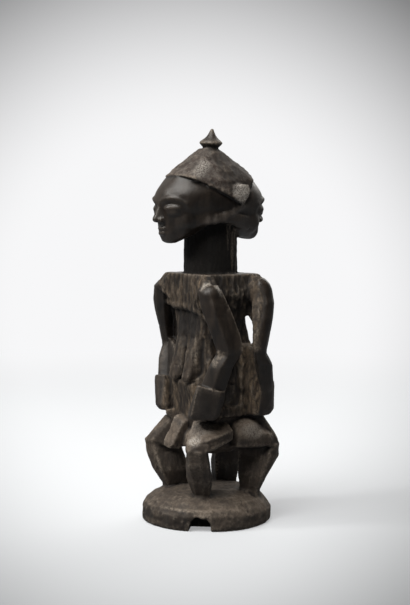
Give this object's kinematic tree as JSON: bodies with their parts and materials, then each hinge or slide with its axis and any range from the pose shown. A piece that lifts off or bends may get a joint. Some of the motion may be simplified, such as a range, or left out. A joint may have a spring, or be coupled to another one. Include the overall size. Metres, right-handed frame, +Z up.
{
  "type": "janus figure",
  "caption": "Carved wooden statuette with back-to-back heads under a shared conical cap, arms bent with hands on the hips and bent legs, standing on a domed disc base.",
  "frame": {"origin": "centre of the figure's outline on the plane it stands on", "axes": "+Z up; one face looks toward -Y and the other toward +Y; X runs across the shoulders"},
  "size_m": [0.0796, 0.0734, 0.22],
  "materials": {
    "carved_wood": "dark hand-carved wood with a worn, lightly polished patina and dust in the hollows"
  },
  "bodies": {
    "root": {"janus_figure": "carved_wood"}
  },
  "joints": []
}
